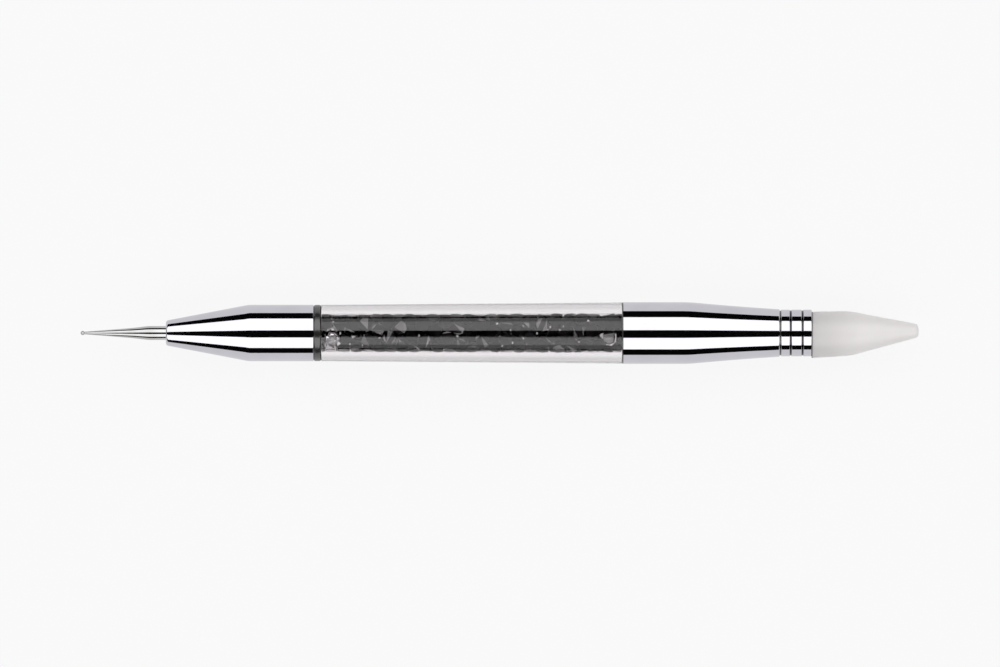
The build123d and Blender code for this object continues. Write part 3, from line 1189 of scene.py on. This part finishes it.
@dataclass
class Studio:
    """Table, dark tent, strip lights, backdrop and camera.

    The table shows its backdrop colour to the camera and its mirrored colour to metal and gloss. A share of
    the lit table stays in both for the shadow, and clear pieces show more of it. The focal length is long
    enough for an almost parallel view.
    """

    table_colour: Colour = (0.90, 0.90, 0.90)
    backdrop_colour: Colour = (0.956, 0.956, 0.956)
    mirrored_colour: Colour = (0.80, 0.80, 0.80)
    shadow_share: float = 0.07
    shade_behind_clear: float = 0.55
    strips: tuple[tuple[str, float, float], ...] = (
        ("strip_up", math.radians(10.5), math.radians(60.6)),
        ("strip_down", math.radians(-63.1), math.radians(-18.2)),
    )
    table_radius: float = 3.0
    table_sides: int = 96
    tent_radius: float = 1.6
    tent_segments: int = 64
    tent_rings: int = 32
    tent_colour: Colour = (0.012, 0.012, 0.013)
    pixels_across: float = 1000.0
    millimetres_per_pixel: float = 0.16109
    pen_middle_px: tuple[float, float] = (499.65, 333.0)
    image_middle_px: tuple[float, float] = (500.0, 333.5)
    focal_mm: float = 1000.0
    sensor_mm: float = 36.0

    def build(self, axis_height: float) -> None:
        """Set up the whole studio.

        Args:
            axis_height: height of the pen's axis above the table.
        """
        self._table()
        self._tent()
        self._backdrop()
        for name, from_angle, to_angle in self.strips:
            Softbox(name, from_angle, to_angle).build()
        self._camera(axis_height)
        bpy.context.scene.view_settings.view_transform = "Standard"

    @staticmethod
    def _seen(desk: NodeDesk, path: bpy.types.Node) -> bpy.types.NodeSocket:
        """Value that is 1 for camera, glossy and transmission rays."""
        either = desk.math("MAXIMUM", path.outputs["Is Camera Ray"], path.outputs["Is Glossy Ray"])
        return desk.math("MAXIMUM", either, path.outputs["Is Transmission Ray"])

    def _table(self) -> None:
        """Lay the pale table: lit for real, with a plain white share that keeps it even."""
        bpy.ops.mesh.primitive_circle_add(vertices=self.table_sides, radius=self.table_radius,
                                          fill_type="NGON")
        table = bpy.context.object
        table.name = "table"
        material = bpy.data.materials.new("table_white")
        material.use_nodes = True
        desk = NodeDesk(material.node_tree)
        material.node_tree.nodes.remove(material.node_tree.nodes["Principled BSDF"])
        lit = desk.add("ShaderNodeBsdfDiffuse")
        lit.inputs["Color"].default_value = (*self.table_colour, 1.0)
        path = desk.add("ShaderNodeLightPath")
        plain = desk.add("ShaderNodeEmission")
        straight = desk.math("MAXIMUM", path.outputs["Is Camera Ray"], path.outputs["Is Transmission Ray"])
        desk.link(desk.mix(straight, self.mirrored_colour, self.backdrop_colour), plain.inputs["Color"])
        seen = desk.math("MULTIPLY", self._seen(desk, path), 1.0 - self.shadow_share)
        behind = desk.math("MULTIPLY", path.outputs["Is Transmission Ray"], self.shade_behind_clear)
        blend = desk.add("ShaderNodeMixShader")
        desk.link(desk.math("SUBTRACT", seen, behind), blend.inputs[0])
        desk.link(lit.outputs[0], blend.inputs[1])
        desk.link(plain.outputs[0], blend.inputs[2])
        desk.link(blend.outputs[0], material.node_tree.nodes["Material Output"].inputs["Surface"])
        table.data.materials.append(material)

    def _tent(self) -> None:
        """Raise the dark tent that the metal mirrors between and beside the strips."""
        bpy.ops.mesh.primitive_uv_sphere_add(segments=self.tent_segments, ring_count=self.tent_rings,
                                             radius=self.tent_radius)
        tent = bpy.context.object
        tent.name = "dark_tent"
        material = bpy.data.materials.new("tent_black")
        material.use_nodes = True
        shader = material.node_tree.nodes["Principled BSDF"]
        shader.inputs["Base Color"].default_value = (*self.tent_colour, 1.0)
        shader.inputs["Roughness"].default_value = 1.0
        shader.inputs["Specular IOR Level"].default_value = 0.0
        tent.data.materials.append(material)
        tent.visible_camera = False

    def _backdrop(self) -> None:
        """Make the world pale where it is seen, and dark as a light."""
        world = bpy.data.worlds.new("backdrop")
        world.use_nodes = True
        bpy.context.scene.world = world
        desk = NodeDesk(world.node_tree)
        shader = world.node_tree.nodes["Background"]
        seen = self._seen(desk, desk.add("ShaderNodeLightPath"))
        desk.link(desk.mix(seen, (0.0, 0.0, 0.0), self.backdrop_colour), shader.inputs["Color"])

    def _camera(self, axis_height: float) -> None:
        """Place the camera straight above the pen.

        Args:
            axis_height: height of the pen's axis above the table.
        """
        per_pixel = self.millimetres_per_pixel * MM
        camera = bpy.data.cameras.new("camera")
        camera.lens = self.focal_mm
        camera.sensor_width = self.sensor_mm
        rig = bpy.data.objects.new("camera", camera)
        distance = self.pixels_across * per_pixel * self.focal_mm / self.sensor_mm
        shift_x = (self.image_middle_px[0] - self.pen_middle_px[0]) * per_pixel
        shift_y = (self.pen_middle_px[1] - self.image_middle_px[1]) * per_pixel
        rig.location = (shift_x, shift_y, axis_height + distance)
        bpy.context.scene.collection.objects.link(rig)
        bpy.context.scene.camera = rig


def main() -> None:
    """Build the pieces and the studio in order, reading the axis height and the tip collar's end from two
    boxes.
    """
    logging.basicConfig(level=logging.INFO, format="%(name)s: %(message)s")
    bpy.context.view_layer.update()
    low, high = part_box("tail_ferrule")
    axis_height = (low.z + high.z) / 2
    lathe = Lathe(axis_height)
    Needle(lathe).build()
    ferrules = Ferrules(lathe)
    ferrules.build_nose()
    ferrules.build_tail()
    handle = Handle(lathe)
    handle.build_tube()
    handle.build_nose_ring()
    SoftTip(lathe, mouth_x=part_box("tip_collar")[1].x).build()
    PackedPieces(frame["nodes"]).dress()
    Studio().build(axis_height)


if __name__ == "__main__":
    main()
